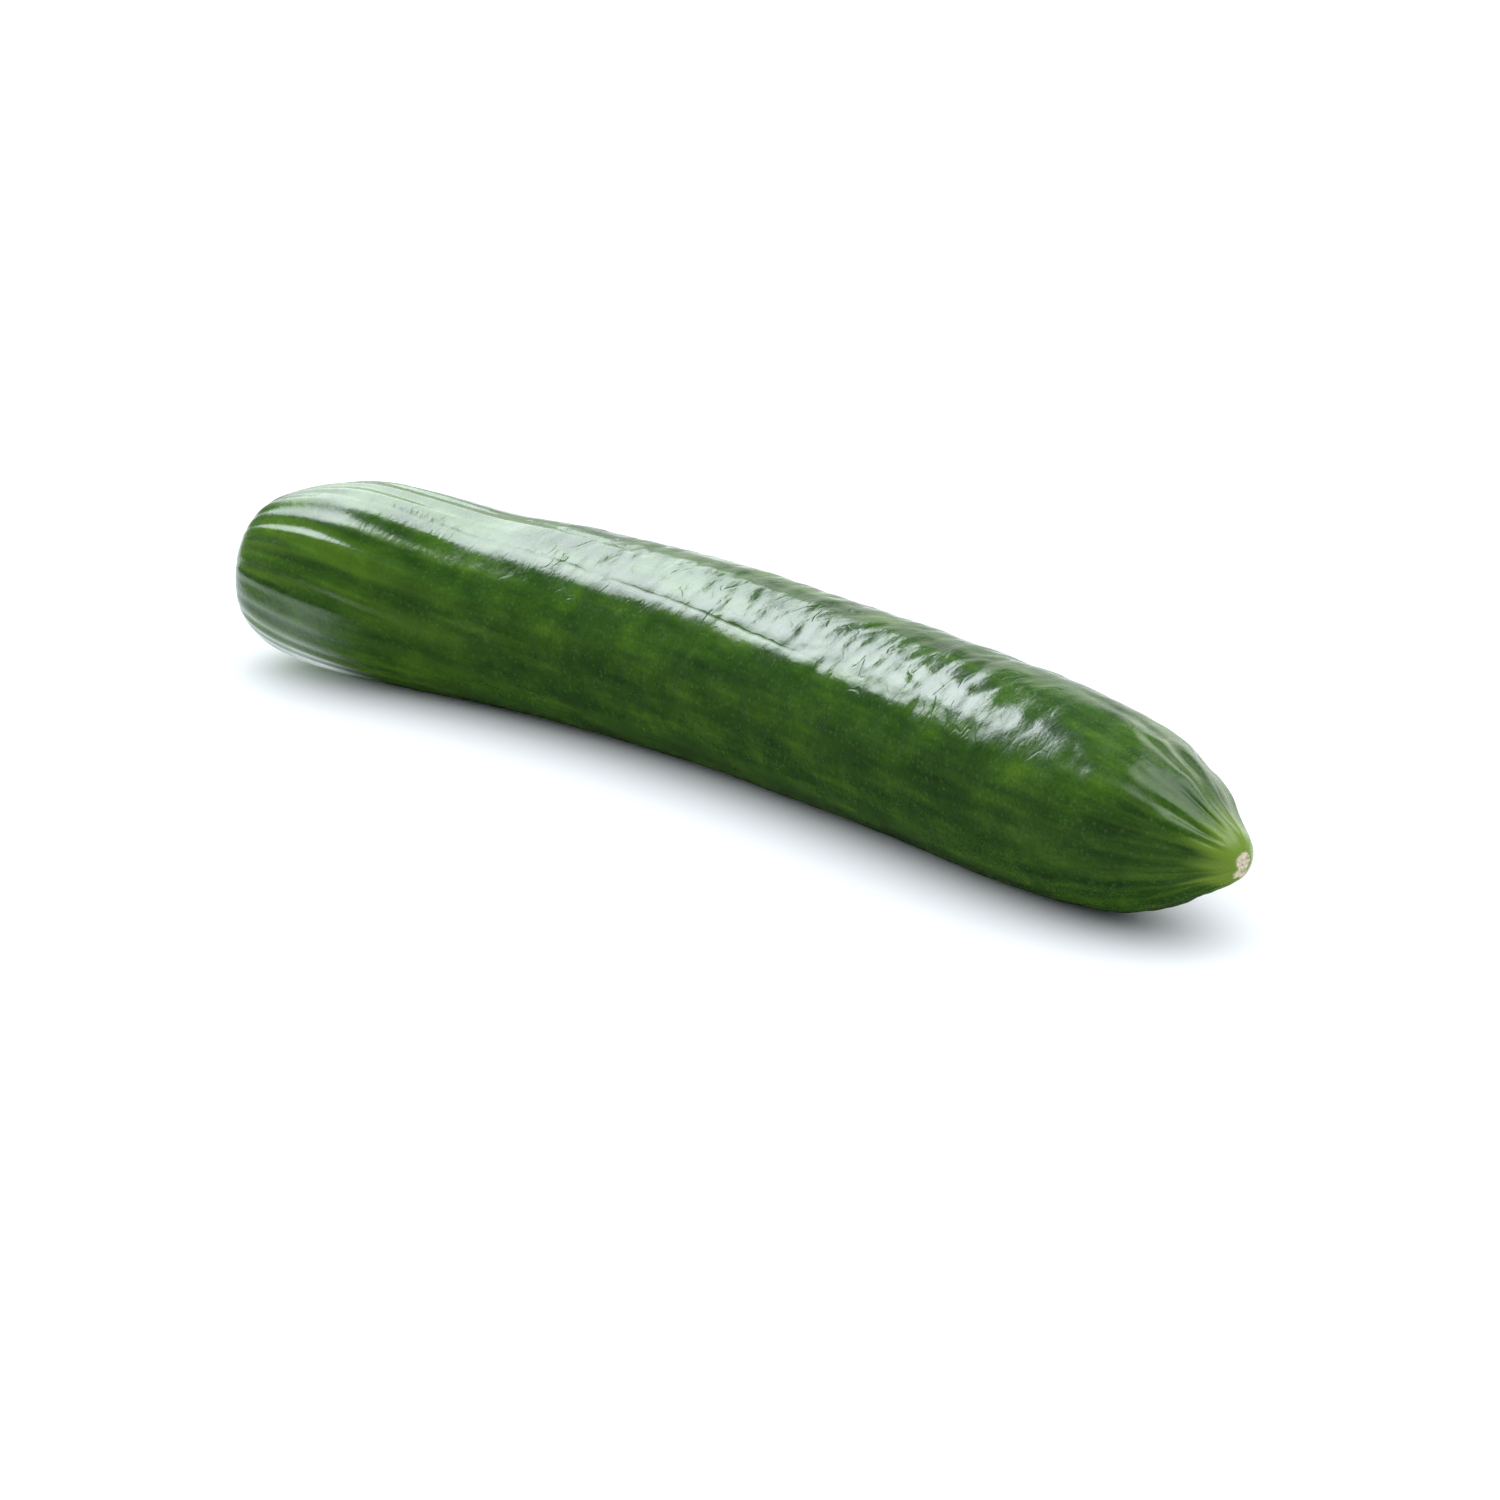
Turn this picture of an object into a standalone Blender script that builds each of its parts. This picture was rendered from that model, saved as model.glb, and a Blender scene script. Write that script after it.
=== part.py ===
"""A whole long cucumber, lying on a flat surface as picked.

One grown piece: a nearly straight, slightly bowed body with a blunt, gently ribbed stem end that carries a short cut
stalk stub, and a long tapering blossom end with a small corky scar. Metres, +Z up. The blossom end points to +X, the
bow lies in the horizontal plane, and the origin is at the middle of the underside, on the resting surface.
"""

import math

import bmesh
import bpy
from mathutils import Vector

# ---------------------------------------------------------------- driving dimensions, in metres
BODY_LENGTH = 0.300          # stem shoulder to blossom tip, along X
BODY_RADIUS = 0.0223

# swellings and the slight waist behind the stem end: (change of radius, place along the body 0..1, half width 0..1)
SWELLINGS = (
    (0.00075, 0.10, 0.050),
    (-0.00036, 0.215, 0.035),
    (0.00027, 0.44, 0.055),
)

DOME_SHARE = 0.20            # share of the length over which the stem end rounds off
DOME_POWER = 3.8             # superellipse power of that rounding

# the blossom end's taper: (place along the body, share of the full radius)
TAPER = ((0.60, 1.0), (0.70, 1.0), (0.78, 0.995), (0.85, 0.94), (0.90, 0.835), (0.94, 0.63), (0.97, 0.395), (1.0, 0.16))
TIP_LENGTH = 0.0042          # over which the blunt tip rounds off
TIP_POWER = 2.2

BOW = (-0.2705, 0.2883, 0.0240)   # square, cube and fourth-power terms of the sideways bow, per body length

STUB_RADIUS = 0.0034         # cut stalk
STUB_PROUD = 0.0024          # how far it stands out of the stem end
STUB_EDGE = 0.0006
DIMPLE_DEPTH = 0.0011        # shallow hollow around the stalk
DIMPLE_WIDTH = 0.0056
SCAR_RADIUS = 0.0022         # dished middle of the blossom scar
SCAR_DEPTH = 0.0004

RIB_COUNT = 10               # shallow lengthwise ribs, strongest at the stem end
RIB_HEIGHT = 0.00022
PLEAT_COUNT = 11             # pleats that run into the blossom scar
PLEAT_HEIGHT = 0.00020

REST_DEPTH = 0.00035         # how much of the underside is flat where the body rests

RINGS = 64                   # along the body
SEGMENTS = 50                # around the body

SKIN_COLOUR = (0.075, 0.150, 0.030, 1.0)


# ---------------------------------------------------------------- shape
def smooth(low, high, value):
    """0 below low, 1 above high, smooth between."""
    t = min(max((value - low) / (high - low), 0.0), 1.0)
    return t * t * (3.0 - 2.0 * t)


def full_radius(u):
    """Radius of the fruit at the share u of its length before its ends round off. It is also the height of the middle
    line, so that the underside lies straight along the surface."""
    return BODY_RADIUS + sum(c * math.exp(-(((u - place) / width) ** 2)) for c, place, width in SWELLINGS)


def taper_at(u):
    """Share of the full radius at u, a smooth curve through TAPER."""
    if u <= TAPER[0][0]:
        return 1.0
    slopes = [0.0]
    for (u0, k0), (u1, k1), (u2, k2) in zip(TAPER, TAPER[1:], TAPER[2:]):
        slopes.append((k2 - k0) / (u2 - u0))
    slopes.append((TAPER[-1][1] - TAPER[-2][1]) / (TAPER[-1][0] - TAPER[-2][0]))
    for i in range(len(TAPER) - 1):
        (u0, k0), (u1, k1) = TAPER[i], TAPER[i + 1]
        if u <= u1:
            break
    h = u1 - u0
    t = (u - u0) / h
    return (
        (2 * t ** 3 - 3 * t ** 2 + 1) * k0
        + (t ** 3 - 2 * t ** 2 + t) * h * slopes[i]
        + (3 * t ** 2 - 2 * t ** 3) * k1
        + (t ** 3 - t ** 2) * h * slopes[i + 1]
    )


def body_radius(u):
    """Radius of the fruit at the share u of its length, 0 at the stem shoulder and 1 at the blossom tip."""
    w = max(1.0 - u / DOME_SHARE, 0.0)
    dome = max(1.0 - w ** DOME_POWER, 0.0) ** (1.0 / DOME_POWER)
    tip_share = TIP_LENGTH / BODY_LENGTH
    w = min(max((u - 1.0 + tip_share) / tip_share, 0.0), 1.0)
    tip = (1.0 - w ** TIP_POWER) ** (1.0 / TIP_POWER)
    return full_radius(u) * dome * taper_at(u) * tip


def skin_profile():
    """Points (x from the stem shoulder, radius) of the turned outline, from the middle of the stalk stub to the
    middle of the blossom scar, close together."""
    points = []
    # flat cut face of the stub, and its rounded edge
    for i in range(12):
        points.append((-STUB_PROUD, (STUB_RADIUS - STUB_EDGE) * i / 12))
    for i in range(9):
        a = math.pi / 2 * i / 8
        points.append(
            (-STUB_PROUD + STUB_EDGE * (1 - math.cos(a)), STUB_RADIUS - STUB_EDGE + STUB_EDGE * math.sin(a))
        )
    # the stub's side flares into the floor of the dimple, which rises to the shoulder
    dome = []
    steps = 700
    for i in range(steps + 1):
        u = 0.5 * (i / steps) ** 3
        dome.append((u * BODY_LENGTH, body_radius(u)))
    start = STUB_RADIUS + 0.0009
    for x, r in dome:
        if r < start:
            continue
        depth = DIMPLE_DEPTH * math.exp(-(((r - start) / DIMPLE_WIDTH) ** 2))
        flare = -STUB_PROUD * 0.55 * math.exp(-(r - start) / 0.0005)
        points.append((x + depth + flare, r))
    # the rest of the body, to the rim of the scar
    for i in range(1, 1400):
        u = 0.5 + 0.5 * (1 - (1 - i / 1400) ** 2)
        r = body_radius(u)
        if u > 0.99 and r < SCAR_RADIUS:
            break
        points.append((u * BODY_LENGTH, r))
    # the scar: a shallow dish
    x_rim, r_rim = points[-1]
    for i in range(1, 13):
        share = 1 - i / 12
        points.append((x_rim - SCAR_DEPTH * (1 - share ** 2), r_rim * share))
    return points


def stations(points, count):
    """count + 1 points along the outline, close together at both ends and wide apart along the middle."""
    travelled = [0.0]
    weight = [0.0]
    for (x0, r0), (x1, r1) in zip(points, points[1:]):
        step = math.hypot(x1 - x0, r1 - r0)
        u = (x0 + x1) / 2 / BODY_LENGTH
        end = min(max(u, 0.0), max(1.0 - u, 0.0))
        spacing = 0.0009 + 0.0072 * smooth(0.0, 0.16, end)
        travelled.append(travelled[-1] + step)
        weight.append(weight[-1] + step / spacing)
    chosen = []
    j = 0
    for i in range(count + 1):
        goal = weight[-1] * i / count
        while j < len(points) - 2 and weight[j + 1] < goal:
            j += 1
        gap = weight[j + 1] - weight[j]
        t = 0.0 if gap <= 0 else min(max((goal - weight[j]) / gap, 0.0), 1.0)
        (x0, r0), (x1, r1) = points[j], points[j + 1]
        chosen.append((x0 + (x1 - x0) * t, r0 + (r1 - r0) * t))
    return chosen


def bow_at(t):
    """Sideways place and slope of the body's middle line, t from -0.5 at the stem to 0.5 at the tip."""
    two, three, four = BOW
    place = two * t * t + three * t ** 3 + four * t ** 4
    slope = 2 * two * t + 3 * three * t * t + 4 * four * t ** 3
    return place * BODY_LENGTH, slope


def rib_height(u, angle):
    """Shallow ribs at the stem end and pleats at the blossom end."""
    wander = 0.35 * math.sin(2.0 * angle + 0.7) + 0.20 * math.sin(3.0 * angle + 2.1)
    ribs = RIB_HEIGHT * (1.0 - 0.75 * smooth(0.10, 0.60, u)) * smooth(0.004, 0.04, u)
    pleats = PLEAT_HEIGHT * smooth(0.72, 0.90, u) * (1.0 - smooth(0.985, 0.999, u))
    under = 1.0 - math.exp(-(((angle + math.pi / 2) / 0.40) ** 2))
    return under * (
        ribs * math.cos(RIB_COUNT * angle + wander) * (1.0 - smooth(0.70, 0.88, u))
        + pleats * math.cos(PLEAT_COUNT * angle + 1.6 * wander)
    )


def build_cucumber():
    chosen = stations(skin_profile(), RINGS)
    mesh = bmesh.new()
    bmesh.ops.create_uvsphere(mesh, u_segments=SEGMENTS, v_segments=RINGS, radius=1.0)
    for vert in mesh.verts:
        share = math.acos(min(max(-vert.co.z, -1.0), 1.0)) / math.pi
        ring = int(round(share * RINGS))
        angle = math.atan2(vert.co.y, vert.co.x)
        x, r = chosen[ring]
        u = min(max(x / BODY_LENGTH, 0.0), 1.0)
        if 0 < ring < RINGS:
            r += rib_height(u, angle)
        else:
            r = 0.0
        side, slope = bow_at(x / BODY_LENGTH - 0.5)
        length = math.hypot(1.0, slope)
        # the ring stands square to the middle line
        vert.co = Vector(
            (
                x - BODY_LENGTH / 2 - slope / length * r * math.cos(angle),
                side + r * math.cos(angle) / length,
                full_radius(u) + r * math.sin(angle),
            )
        )
    # the flat where the fruit rests
    floor = min(v.co.z for v in mesh.verts) + REST_DEPTH
    for vert in mesh.verts:
        if abs(vert.co.z - floor) < 0.00003:
            vert.co.z = floor
    bmesh.ops.bisect_plane(
        mesh,
        geom=mesh.verts[:] + mesh.edges[:] + mesh.faces[:],
        dist=1e-7,
        plane_co=(0, 0, floor),
        plane_no=(0, 0, -1),
        clear_outer=True,
    )
    rim = [e for e in mesh.edges if e.is_boundary]
    bmesh.ops.holes_fill(mesh, edges=rim, sides=0)
    bmesh.ops.triangulate(mesh, faces=[f for f in mesh.faces if len(f.verts) > 4])
    bmesh.ops.recalc_face_normals(mesh, faces=mesh.faces)
    # origin at the middle of the underside
    low = [min(v.co[i] for v in mesh.verts) for i in range(3)]
    high = [max(v.co[i] for v in mesh.verts) for i in range(3)]
    shift = Vector((-(low[0] + high[0]) / 2, -(low[1] + high[1]) / 2, -low[2]))
    bmesh.ops.translate(mesh, verts=mesh.verts, vec=shift)

    data = bpy.data.meshes.new("cucumber")
    mesh.to_mesh(data)
    mesh.free()
    data.shade_smooth()
    data.set_sharp_from_angle(angle=math.radians(50))
    return bpy.data.objects.new("cucumber", data)


def skin_material():
    material = bpy.data.materials.new("cucumber_skin")
    material.use_nodes = True
    shader = material.node_tree.nodes["Principled BSDF"]
    shader.inputs["Base Color"].default_value = SKIN_COLOUR
    shader.inputs["Metallic"].default_value = 0.0
    shader.inputs["Roughness"].default_value = 0.28
    return material


def main():
    for old in list(bpy.data.objects):
        bpy.data.objects.remove(old, do_unlink=True)
    parts = bpy.data.collections.new("cucumber")
    bpy.context.scene.collection.children.link(parts)
    fruit = build_cucumber()
    fruit.data.materials.append(skin_material())
    parts.objects.link(fruit)


main()
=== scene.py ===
"""The looks of the whole cucumber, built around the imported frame: one finely shaped skin mesh, its procedural
material, a plain pale floor, soft studio light and the camera."""

import math

import bpy
import numpy as np
from mathutils import Matrix, Vector


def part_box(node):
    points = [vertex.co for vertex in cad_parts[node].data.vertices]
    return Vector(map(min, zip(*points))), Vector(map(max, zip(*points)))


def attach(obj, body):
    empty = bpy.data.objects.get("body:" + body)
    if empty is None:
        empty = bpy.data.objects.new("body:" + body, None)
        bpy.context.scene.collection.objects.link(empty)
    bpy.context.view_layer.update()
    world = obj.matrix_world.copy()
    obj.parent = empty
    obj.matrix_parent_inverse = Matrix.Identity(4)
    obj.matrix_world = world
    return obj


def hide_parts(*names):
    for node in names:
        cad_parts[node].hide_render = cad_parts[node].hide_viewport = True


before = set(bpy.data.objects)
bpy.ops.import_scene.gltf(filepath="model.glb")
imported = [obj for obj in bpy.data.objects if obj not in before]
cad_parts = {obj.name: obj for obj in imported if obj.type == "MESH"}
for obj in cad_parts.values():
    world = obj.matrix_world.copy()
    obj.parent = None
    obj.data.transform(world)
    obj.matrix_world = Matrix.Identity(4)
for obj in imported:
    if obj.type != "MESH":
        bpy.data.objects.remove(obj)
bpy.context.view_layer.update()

# ---------------------------------------------------------------- the body, repeated from the frame's design, in metres
BODY_LENGTH = 0.300
BODY_RADIUS = 0.0223
SWELLINGS = ((0.00075, 0.10, 0.050), (-0.00036, 0.215, 0.035), (0.00027, 0.44, 0.055))
DOME_SHARE, DOME_POWER = 0.20, 3.8
TAPER = ((0.60, 1.0), (0.70, 1.0), (0.78, 0.995), (0.85, 0.94), (0.90, 0.835), (0.94, 0.63), (0.97, 0.395), (1.0, 0.16))
TIP_LENGTH, TIP_POWER = 0.0042, 2.2
BOW = (-0.2705, 0.2883, 0.0240)
STUB_RADIUS, STUB_PROUD, STUB_EDGE = 0.0034, 0.0024, 0.0006
DIMPLE_DEPTH, DIMPLE_WIDTH = 0.0011, 0.0056
SCAR_RADIUS, SCAR_DEPTH = 0.0022, 0.0004
REST_DEPTH = 0.00035

RINGS = 440       # stations along the skin
AROUND = 218      # points around it


def smooth(low, high, value):
    t = np.clip((value - low) / (high - low), 0.0, 1.0)
    return t * t * (3.0 - 2.0 * t)


def full_radius(u):
    return BODY_RADIUS + sum(c * np.exp(-(((u - place) / width) ** 2)) for c, place, width in SWELLINGS)


def taper_at(u):
    table = np.array(TAPER)
    place, share = table[:, 0], table[:, 1]
    slope = np.zeros(len(place))
    slope[1:-1] = (share[2:] - share[:-2]) / (place[2:] - place[:-2])
    slope[-1] = (share[-1] - share[-2]) / (place[-1] - place[-2])
    i = np.clip(np.searchsorted(place, u, side="left") - 1, 0, len(place) - 2)
    h = place[i + 1] - place[i]
    t = np.clip((u - place[i]) / h, 0.0, 1.0)
    value = (
        (2 * t**3 - 3 * t**2 + 1) * share[i]
        + (t**3 - 2 * t**2 + t) * h * slope[i]
        + (3 * t**2 - 2 * t**3) * share[i + 1]
        + (t**3 - t**2) * h * slope[i + 1]
    )
    return np.where(u <= place[0], 1.0, value)


def body_radius(u):
    w = np.clip(1.0 - u / DOME_SHARE, 0.0, 1.0)
    dome = np.clip(1.0 - w**DOME_POWER, 0.0, 1.0) ** (1.0 / DOME_POWER)
    tip_share = TIP_LENGTH / BODY_LENGTH
    w = np.clip((u - 1.0 + tip_share) / tip_share, 0.0, 1.0)
    tip = np.clip(1.0 - w**TIP_POWER, 0.0, 1.0) ** (1.0 / TIP_POWER)
    return full_radius(u) * dome * taper_at(u) * tip


def skin_profile():
    """(x from the stem shoulder, radius) close together, from the middle of the stub to the middle of the scar."""
    points = [(-STUB_PROUD, (STUB_RADIUS - STUB_EDGE) * i / 40) for i in range(40)]
    for i in range(25):
        a = math.pi / 2 * i / 24
        points.append((-STUB_PROUD + STUB_EDGE * (1 - math.cos(a)), STUB_RADIUS - STUB_EDGE + STUB_EDGE * math.sin(a)))
    start = STUB_RADIUS + 0.0009
    u = 0.5 * (np.arange(4001) / 4000) ** 3
    x, r = u * BODY_LENGTH, body_radius(u)
    keep = r >= start
    x, r = x[keep], r[keep]
    x = x + DIMPLE_DEPTH * np.exp(-(((r - start) / DIMPLE_WIDTH) ** 2)) - STUB_PROUD * 0.55 * np.exp(-(r - start) / 0.0005)
    points += list(zip(x, r))
    u = 0.5 + 0.5 * (1 - (1 - np.arange(1, 6000) / 6000) ** 2)
    r = body_radius(u)
    keep = ~((u > 0.99) & (r < SCAR_RADIUS))
    points += list(zip(u[keep] * BODY_LENGTH, r[keep]))
    x_rim, r_rim = points[-1]
    for i in range(1, 41):
        share = 1 - i / 40
        points.append((x_rim - SCAR_DEPTH * (1 - share**2), r_rim * share))
    return np.array(points)


def stations(points, count):
    """count + 1 rows (x, radius, distance along the skin), close together at both ends."""
    step = np.hypot(*np.diff(points, axis=0).T)
    middle = (points[1:, 0] + points[:-1, 0]) / 2 / BODY_LENGTH
    end = np.minimum(np.clip(middle, 0, 1), np.clip(1 - middle, 0, 1))
    spacing = 0.00022 + 0.00040 * smooth(0.0, 0.05, end)
    travelled = np.concatenate([[0], np.cumsum(step)])
    weight = np.concatenate([[0], np.cumsum(step / spacing)])
    goal = np.linspace(0, weight[-1], count + 1)
    return np.stack([np.interp(goal, weight, col) for col in (points[:, 0], points[:, 1], travelled)], axis=1)


def bow_at(t):
    two, three, four = BOW
    return (two * t * t + three * t**3 + four * t**4) * BODY_LENGTH, 2 * two * t + 3 * three * t * t + 4 * four * t**3


# ---------------------------------------------------------------- noise
def lattice(seed):
    rng = np.random.default_rng(seed)
    directions = rng.normal(size=(4096, 3))
    return directions / np.linalg.norm(directions, axis=1, keepdims=True), rng.permutation(4096)


def noise(points, seed):
    """Smooth gradient noise, about -1 to 1, at points already divided by the feature size."""
    directions, order = lattice(seed)
    cell = np.floor(points).astype(np.int64)
    f = points - cell
    w = f * f * f * (f * (f * 6 - 15) + 10)
    total = 0.0
    for dx in (0, 1):
        for dy in (0, 1):
            for dz in (0, 1):
                key = order[(cell[..., 0] + dx) & 4095]
                key = order[(key + cell[..., 1] + dy) & 4095]
                key = order[(key + cell[..., 2] + dz) & 4095]
                g = directions[key]
                dot = g[..., 0] * (f[..., 0] - dx) + g[..., 1] * (f[..., 1] - dy) + g[..., 2] * (f[..., 2] - dz)
                wx = w[..., 0] if dx else 1 - w[..., 0]
                wy = w[..., 1] if dy else 1 - w[..., 1]
                wz = w[..., 2] if dz else 1 - w[..., 2]
                total = total + dot * wx * wy * wz
    return total * 1.6


def curve(table, u):
    """Smooth-enough curve through (place, value) pairs."""
    places, values = np.array(table).T
    fine = np.linspace(places[0], places[-1], 400)
    line = np.interp(fine, places, values)
    kernel = np.hanning(41)
    kernel /= kernel.sum()
    padded = np.concatenate([np.full(20, line[0]), line, np.full(20, line[-1])])
    return np.interp(u, fine, np.convolve(padded, kernel, mode="valid"))


# ---------------------------------------------------------------- relief of the skin
# The ribs wind slowly round the body: the angle, in degrees, that one rib has at each place along it.
# Angles run from 0 at the back, over 90 at the top, to 180 at the front and 270 underneath.
TWIST = ((0.0, 100.0), (0.03, 105.0), (0.08, 112.5), (0.12, 118.0), (0.20, 124.0), (0.30, 130.0), (0.40, 135.0), (0.50, 138.0), (0.60, 141.0), (0.80, 145.0), (1.0, 147.0))

# Narrow lengthwise furrows: (rib angle at the start, rib angle at the end, start u, end u, half width in degrees, depth
# in mm)
FURROWS = (
    # (rib angle at the start, rib angle at the end, start u, end u, half width deg, depth mm)
    (-8.5, -6.0, 0.05, 0.62, 1.9, 0.12),
    (24.0, 26.0, -0.02, 0.24, 2.4, 0.16),
    (41.0, 37.0, -0.02, 0.30, 2.2, 0.16),
    (-24.0, -20.0, 0.02, 0.22, 2.2, 0.14),
    (-36.0, -34.0, 0.00, 0.40, 2.4, 0.13),
    (60.0, 58.0, -0.02, 0.30, 3.0, 0.16),
    (78.0, 80.0, -0.02, 0.42, 3.0, 0.15),
    (103.0, 108.0, -0.02, 0.55, 2.6, 0.16),
    (131.0, 127.0, -0.02, 0.35, 3.0, 0.16),
    (158.0, 162.0, -0.02, 0.62, 2.4, 0.15),
    (186.0, 184.0, -0.02, 0.30, 3.0, 0.16),
    (213.0, 209.0, -0.02, 0.58, 2.4, 0.16),
    (238.0, 243.0, -0.02, 0.33, 3.0, 0.15),
    (268.0, 265.0, -0.02, 0.50, 2.6, 0.15),
    (296.0, 300.0, -0.02, 0.36, 3.0, 0.15),
)

# Pleats that run into the blossom scar: (angle at the start, angle at the tip, start u, half width deg, depth mm)
PLEATS = (
    (80.0, 76.0, 0.79, 4.0, 0.30),
    (94.0, 84.0, 0.86, 3.2, 0.34),
    (113.0, 100.0, 0.89, 2.6, 0.30),
    (121.0, 112.0, 0.90, 2.6, 0.22),
    (136.0, 132.0, 0.915, 3.6, 0.30),
    (162.0, 158.0, 0.86, 6.0, 0.16),
    (184.0, 180.0, 0.84, 6.0, 0.18),
    (204.0, 202.0, 0.83, 6.0, 0.22),
    (226.0, 226.0, 0.84, 5.0, 0.26),
    (250.0, 252.0, 0.86, 5.0, 0.28),
    (276.0, 280.0, 0.83, 4.6, 0.28),
    (303.0, 308.0, 0.85, 4.2, 0.30),
    (330.0, 332.0, 0.82, 4.6, 0.30),
    (-4.0, -4.0, 0.86, 4.0, 0.30),
    (22.0, 26.0, 0.83, 4.6, 0.30),
    (50.0, 52.0, 0.85, 4.0, 0.30),
)


def turn(a):
    """Angle difference in degrees, -180 to 180."""
    return (a + 180.0) % 360.0 - 180.0


def relief(u, angle, ring_radius):
    """Height of the skin over the plain body, in metres, and what the material needs to know about each point."""
    deg = np.degrees(angle)
    s = u * BODY_LENGTH
    r = BODY_RADIUS
    twist = curve(TWIST, u)
    q = deg - twist
    qr = np.radians(q)
    along = np.stack([s, r * np.cos(qr), r * np.sin(qr)], axis=-1)
    round_body = np.stack([s, r * np.cos(angle), r * np.sin(angle)], axis=-1)

    mm = 0.001
    h = np.zeros_like(u)

    # soft unevenness of the whole body
    h += 0.22 * mm * noise(round_body / (0.034, 0.024, 0.024), 11) * smooth(0.02, 0.12, u) * (1 - smooth(0.9, 0.97, u))

    # ribs, strongest at the stem end
    wander = 46.0 * noise(along / (0.085, 0.020, 0.020), 3)
    strength = (0.32 + 0.68 * (1 - smooth(0.10, 0.42, u))) * (1 - smooth(0.72, 0.90, u))
    rib = np.cos(np.radians((q + wander * 0.16) * 360.0 / 13.5))
    uneven = 0.55 + 0.75 * noise(along / (0.060, 0.011, 0.011), 5)
    at_stem = 1 - smooth(0.14, 0.26, u)
    uneven = np.clip(uneven, 0.0, 1.6) * (1 - at_stem) + (1.25 + 0.45 * noise(along / (0.030, 0.009, 0.009), 6)) * at_stem
    low_side = 1 - 0.50 * np.exp(-((turn(deg - 232.0) / 30.0) ** 2))
    h += 0.15 * mm * strength * rib * uneven * low_side * smooth(0.0, 0.03, u)
    broad = np.cos(np.radians(q * 10.0 + 30.0))
    h += 0.10 * mm * broad * (0.35 + 0.65 * (1 - smooth(0.2, 0.6, u))) * smooth(0.0, 0.03, u) * (1 - smooth(0.75, 0.9, u))

    # narrow furrows between the ribs
    furrow = np.zeros_like(u)
    for q0, q1, start, end, half, depth in FURROWS:
        t = np.clip((u - start) / (end - start), 0.0, 1.0)
        wave = 0.9 * noise(np.stack([s / 0.014, np.full_like(s, q0), np.zeros_like(s)], axis=-1), 21)
        off = turn(q - (q0 + (q1 - q0) * t) - wave)
        fade = smooth(start, start + 0.06, u) * (1 - smooth(end - 0.10, end, u))
        cut = np.exp(-((off / half) ** 2)) * fade
        h -= depth * mm * cut
        furrow = np.maximum(furrow, cut)

    # pillows and creases across the body, like gathered skin
    size = (0.0085, 0.0125, 0.0125)
    bend = 0.35 * noise(round_body / 0.016, 31)
    cells = noise(round_body / size + bend[..., None], 32)
    small = noise(round_body / (0.0046, 0.0056, 0.0056) + 0.5 * bend[..., None], 33)
    fine = noise(round_body / (0.0026, 0.0028, 0.0028), 34)
    where = (0.22 + 0.78 * smooth(0.16, 0.40, u)) * (1 - 0.55 * smooth(0.74, 0.86, u)) * (1 - smooth(0.93, 0.985, u))
    where = where * (1 - 0.65 * np.exp(-((turn(deg - 262.0) / 40.0) ** 2)))
    below = turn(q - 1.0)
    smoother = 1 - 0.76 * np.exp(-((below / 7.5) ** 2)) * (1 - smooth(0.48, 0.64, u))
    pillow = np.sqrt(cells**2 + 0.0025) - 0.30
    h += mm * where * smoother * (0.50 * pillow + 0.14 * (np.sqrt(small**2 + 0.006) - 0.28) + 0.022 * fine)

    # narrow creases between the pillows, mostly across the body
    slant = np.stack([s + 0.35 * r * angle, r * np.cos(angle), r * np.sin(angle)], axis=-1)
    crumple = noise(slant / (0.0048, 0.0100, 0.0100) + 0.6 * bend[..., None], 35)
    gate = smooth(-0.15, 0.35, noise(round_body / (0.011, 0.013, 0.013), 36))
    crease = np.exp(-((crumple / 0.22) ** 2)) * gate * where
    h -= 0.13 * mm * crease * (1 - 0.7 * np.exp(-((below / 7.5) ** 2)))

    # a few deeper pits and short cross creases where the skin gathers
    pits = noise(round_body / (0.0075, 0.0110, 0.0110) + 0.4 * bend[..., None] + 7.3, 41)
    h -= 0.10 * mm * smooth(0.30, 0.75, pits) * where * smooth(0.30, 0.5, u)

    # pleats that run into the blossom scar
    pleat = np.zeros_like(u)
    for a0, a1, start, half, depth in PLEATS:
        t = np.clip((u - start) / (1.0 - start), 0.0, 1.0)
        wave = (5.0 * (1 - t) + 0.8) * noise(np.stack([s / 0.013, np.full_like(s, a0), np.ones_like(s)], axis=-1), 51)
        off = turn(deg - (a0 + (a1 - a0) * t) - wave)
        width = half * (1.0 + 0.9 * t)
        fade = smooth(start, start + 0.07, u) * (1 - smooth(0.975, 0.993, u))
        cut = np.exp(-((off / width) ** 2)) * fade
        h -= 1.9 * depth * mm * cut * (0.75 + 0.5 * noise(np.stack([s / 0.009, np.full_like(s, a1), np.ones_like(s)], axis=-1), 52))
        pleat = np.maximum(pleat, cut)
    swell = noise(round_body / (0.010, 0.0085, 0.0085), 61)
    lumps = noise(round_body / (0.0055, 0.0045, 0.0045), 62)
    h += mm * (0.62 * swell + 0.30 * lumps) * smooth(0.82, 0.90, u) * (1 - smooth(0.95, 0.985, u))
    gathers = noise(along / (0.026, 0.0026, 0.0026), 63)
    h += 0.24 * mm * gathers * smooth(0.86, 0.93, u) * (1 - smooth(0.982, 0.994, u))

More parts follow.
